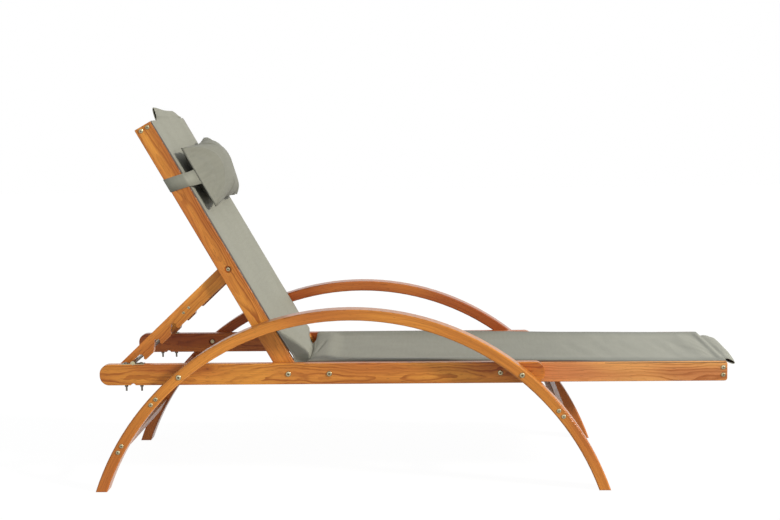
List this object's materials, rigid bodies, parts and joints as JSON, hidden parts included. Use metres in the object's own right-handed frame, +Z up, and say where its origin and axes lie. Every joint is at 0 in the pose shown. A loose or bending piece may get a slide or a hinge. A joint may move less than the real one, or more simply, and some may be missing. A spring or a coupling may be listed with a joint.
{
  "type": "reclining garden lounger",
  "caption": "Wooden sun lounger with arched leg and armrest frames, a sling seat, a reclining sling back held by a notched strut, and a strapped head pillow",
  "frame": {"origin": "middle of the floor under the whole lounger, centre of its footprint box", "axes": "+X points to the foot end, +Y to the far side of the picture, +Z up"},
  "size_m": [2.008, 0.7468, 1.187],
  "materials": {
    "larch_wood": "honey-brown stain with visible grain and knots, satin",
    "sling_cloth": "sage-grey plain-weave outdoor cloth, matte",
    "zinc_steel": "bright zinc-plated steel"
  },
  "bodies": {
    "base": {"arch_near": "larch_wood", "arch_far": "larch_wood", "base_rail_near": "larch_wood", "base_rail_far": "larch_wood", "seat_rail_near": "larch_wood", "seat_rail_far": "larch_wood", "foot_crossbar": "larch_wood", "leg_bar_head_upper": "larch_wood", "leg_bar_head_lower": "larch_wood", "leg_bar_foot": "larch_wood", "support_rod": "zinc_steel", "rod_saddles": "zinc_steel", "saddle_bolts": "zinc_steel", "saddle_nuts": "zinc_steel", "arch_bolts": "zinc_steel", "arch_nuts": "zinc_steel", "seat_rail_bolts": "zinc_steel", "seat_rail_nuts": "zinc_steel", "leg_bar_screws": "zinc_steel", "foot_crossbar_screws": "zinc_steel", "pivot_bolts": "zinc_steel", "pivot_washers": "zinc_steel", "pivot_nuts": "zinc_steel", "seat_sling": "sling_cloth"},
    "backrest": {"back_rail_near": "larch_wood", "back_rail_far": "larch_wood", "back_top_crossbar": "larch_wood", "back_crossbar_screws": "zinc_steel", "back_sling": "sling_cloth", "strut_bolts": "zinc_steel", "strut_washers": "zinc_steel", "strut_nuts": "zinc_steel"},
    "strut_frame": {"strut_near": "larch_wood", "strut_far": "larch_wood", "strut_crossbar": "larch_wood", "strut_crossbar_screws": "zinc_steel"},
    "pillow": {"pillow": "sling_cloth", "pillow_strap_near": "sling_cloth", "pillow_strap_far": "sling_cloth"}
  },
  "joints": [
    {"name": "backrest_recline", "type": "hinge", "parent": "base", "child": "backrest", "pos_m": [-0.39783, 0, 0.3596], "axis": [0, -1, 0], "range_deg": [0, 51.9]},
    {"name": "strut_fold", "type": "hinge", "parent": "backrest", "child": "strut_frame", "pos_m": [-0.58293, 0, 0.68677], "axis": [0, 1, 0], "range_deg": [0, 103.8]},
    {"name": "pillow_slide", "type": "slide", "parent": "backrest", "child": "pillow", "axis": [-0.4924, 0, 0.8704], "range_m": [-0.12, 0.1]}
  ],
  "couplings": [
    {"joint": "strut_fold", "follows": "backrest_recline", "ratio": 2}
  ]
}
